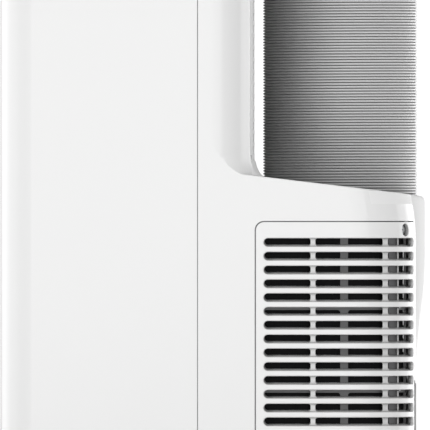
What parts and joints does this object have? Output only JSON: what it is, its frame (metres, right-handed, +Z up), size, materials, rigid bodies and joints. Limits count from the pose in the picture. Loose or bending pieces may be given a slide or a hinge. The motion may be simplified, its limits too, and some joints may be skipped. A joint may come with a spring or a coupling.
{
  "type": "portable air conditioner",
  "caption": "Tall white portable air conditioner on casters: an L-shaped body whose open rear bay stows a ribbed exhaust hose, with slotted corner grilles, front outlet flap and top keys.",
  "frame": {"origin": "on the floor, at the centre of the footprint", "axes": "+Z up, -Y towards the front with the air outlet, +Y towards the hose bay, X along the width"},
  "size_m": [0.47, 0.425, 0.86],
  "materials": {
    "shell": "satin white moulded ABS",
    "base": "light grey moulded plastic",
    "panel": "dark grey fascia",
    "lens": "smoked display window",
    "button": "satin key cap",
    "board": "circuit board",
    "filter": "dark filter frame and mesh",
    "hose": "spiral-ribbed grey duct",
    "adapter": "light grey duct fitting",
    "rubber": "black rubber",
    "steel": "zinc-plated steel",
    "fork": "dark nylon",
    "fins": "fin stack",
    "compressor": "black enamelled steel",
    "fan": "dark fan plastic",
    "duct": "light grey plastic duct",
    "copper": "copper tube"
  },
  "bodies": {
    "chassis": {"base_pan": "base", "electrical_box": "base", "front_casing": "shell", "rear_casing": "shell", "top_cover": "shell", "handle_right": "shell", "handle_left": "shell", "side_grille_right": "shell", "side_grille_left": "shell", "rear_lower_panel": "shell", "upper_grille": "shell", "control_panel": "panel", "display_lens": "lens", "control_board": "board", "outlet_frame": "duct", "evap_scroll": "duct", "cond_scroll": "duct", "drain_tray": "duct", "side_filter_right": "filter", "side_filter_left": "filter", "grille_screw_right": "steel", "grille_screw_left": "steel", "evap_motor": "steel", "cond_motor": "steel", "cord_gland": "rubber", "hose_socket": "adapter", "exhaust_hose": "hose", "compressor": "compressor", "condenser_coil": "fins", "evaporator_coil": "fins", "discharge_pipe": "copper", "suction_pipe": "copper"},
    "swivel_fl": {"caster_fork_fl": "fork", "caster_axle_fl": "steel"},
    "wheel_fl": {"caster_wheel_fl": "rubber"},
    "swivel_fr": {"caster_fork_fr": "fork", "caster_axle_fr": "steel"},
    "wheel_fr": {"caster_wheel_fr": "rubber"},
    "swivel_rl": {"caster_fork_rl": "fork", "caster_axle_rl": "steel"},
    "wheel_rl": {"caster_wheel_rl": "rubber"},
    "swivel_rr": {"caster_fork_rr": "fork", "caster_axle_rr": "steel"},
    "wheel_rr": {"caster_wheel_rr": "rubber"},
    "flap": {"outlet_flap": "shell"},
    "vane1": {"vane_1": "duct"},
    "vane2": {"vane_2": "duct"},
    "vane3": {"vane_3": "duct"},
    "vane4": {"vane_4": "duct"},
    "link": {"vane_link": "duct"},
    "key_power": {"button_power": "button"},
    "key_mode": {"button_mode": "button"},
    "key_fan": {"button_fan": "button"},
    "key_down": {"button_down": "button"},
    "key_up": {"button_up": "button"},
    "filter": {"upper_filter": "filter"},
    "adapter": {"window_adapter": "adapter"},
    "evap_fan": {"evap_wheel": "fan"},
    "cond_fan": {"cond_wheel": "fan"},
    "cap": {"drain_cap": "rubber"}
  },
  "joints": [
    {"name": "caster_swivel_fl", "type": "hinge", "parent": "chassis", "child": "swivel_fl", "pos_m": [-0.18, -0.15, 0.05], "axis": [0, 0, 1], "continuous": true},
    {"name": "wheel_spin_fl", "type": "hinge", "parent": "swivel_fl", "child": "wheel_fl", "pos_m": [-0.18, -0.137, 0.02], "axis": [1, 0, 0], "continuous": true},
    {"name": "caster_swivel_fr", "type": "hinge", "parent": "chassis", "child": "swivel_fr", "pos_m": [0.18, -0.15, 0.05], "axis": [0, 0, 1], "continuous": true},
    {"name": "wheel_spin_fr", "type": "hinge", "parent": "swivel_fr", "child": "wheel_fr", "pos_m": [0.18, -0.137, 0.02], "axis": [1, 0, 0], "continuous": true},
    {"name": "caster_swivel_rl", "type": "hinge", "parent": "chassis", "child": "swivel_rl", "pos_m": [-0.18, 0.15, 0.05], "axis": [0, 0, 1], "continuous": true},
    {"name": "wheel_spin_rl", "type": "hinge", "parent": "swivel_rl", "child": "wheel_rl", "pos_m": [-0.18, 0.163, 0.02], "axis": [1, 0, 0], "continuous": true},
    {"name": "caster_swivel_rr", "type": "hinge", "parent": "chassis", "child": "swivel_rr", "pos_m": [0.18, 0.15, 0.05], "axis": [0, 0, 1], "continuous": true},
    {"name": "wheel_spin_rr", "type": "hinge", "parent": "swivel_rr", "child": "wheel_rr", "pos_m": [0.18, 0.163, 0.02], "axis": [1, 0, 0], "continuous": true},
    {"name": "flap_hinge", "type": "hinge", "parent": "chassis", "child": "flap", "pos_m": [0, -0.207, 0.7004], "axis": [1, 0, 0], "range_deg": [0, 75]},
    {"name": "vane_pivot_1", "type": "hinge", "parent": "chassis", "child": "vane1", "pos_m": [-0.12, -0.165, 0.74], "axis": [0, 0, 1], "range_deg": [-35, 35]},
    {"name": "vane_pivot_2", "type": "hinge", "parent": "chassis", "child": "vane2", "pos_m": [-0.04, -0.165, 0.74], "axis": [0, 0, 1], "range_deg": [-35, 35]},
    {"name": "vane_pivot_3", "type": "hinge", "parent": "chassis", "child": "vane3", "pos_m": [0.04, -0.165, 0.74], "axis": [0, 0, 1], "range_deg": [-35, 35]},
    {"name": "vane_pivot_4", "type": "hinge", "parent": "chassis", "child": "vane4", "pos_m": [0.12, -0.165, 0.74], "axis": [0, 0, 1], "range_deg": [-35, 35]},
    {"name": "vane_link_slide", "type": "slide", "parent": "chassis", "child": "link", "axis": [1, 0, 0], "range_m": [-0.00855, 0.00855]},
    {"name": "power_press", "type": "slide", "parent": "chassis", "child": "key_power", "axis": [0, 0, -1], "range_m": [0, 0.0012], "stiffness_N_per_m": 500, "springref_m": -0.0004},
    {"name": "mode_press", "type": "slide", "parent": "chassis", "child": "key_mode", "axis": [0, 0, -1], "range_m": [0, 0.0012], "stiffness_N_per_m": 500, "springref_m": -0.0004},
    {"name": "fan_press", "type": "slide", "parent": "chassis", "child": "key_fan", "axis": [0, 0, -1], "range_m": [0, 0.0012], "stiffness_N_per_m": 500, "springref_m": -0.0004},
    {"name": "down_press", "type": "slide", "parent": "chassis", "child": "key_down", "axis": [0, 0, -1], "range_m": [0, 0.0012], "stiffness_N_per_m": 500, "springref_m": -0.0004},
    {"name": "up_press", "type": "slide", "parent": "chassis", "child": "key_up", "axis": [0, 0, -1], "range_m": [0, 0.0012], "stiffness_N_per_m": 500, "springref_m": -0.0004},
    {"name": "filter_slide", "type": "slide", "parent": "chassis", "child": "filter", "axis": [-1, 0, 0], "range_m": [0, 0.375]},
    {"name": "hose_extend", "type": "slide", "parent": "chassis", "child": "adapter", "axis": [0, 0, 1], "range_m": [0, 1.1], "deforming": ["exhaust_hose"]},
    {"name": "evap_fan_spin", "type": "hinge", "parent": "chassis", "child": "evap_fan", "pos_m": [0, -0.12, 0.585], "axis": [1, 0, 0], "continuous": true},
    {"name": "cond_fan_spin", "type": "hinge", "parent": "chassis", "child": "cond_fan", "pos_m": [-0.07, 0.128, 0.25], "axis": [0, 1, 0], "continuous": true},
    {"name": "drain_cap_pull", "type": "slide", "parent": "chassis", "child": "cap", "axis": [0, 1, 0], "range_m": [0, 0.025]}
  ],
  "couplings": [
    {"joint": "vane_pivot_1", "follows": "vane_link_slide", "rad_per_m": -71.429},
    {"joint": "vane_pivot_2", "follows": "vane_link_slide", "rad_per_m": -71.429},
    {"joint": "vane_pivot_3", "follows": "vane_link_slide", "rad_per_m": -71.429},
    {"joint": "vane_pivot_4", "follows": "vane_link_slide", "rad_per_m": -71.429}
  ]
}
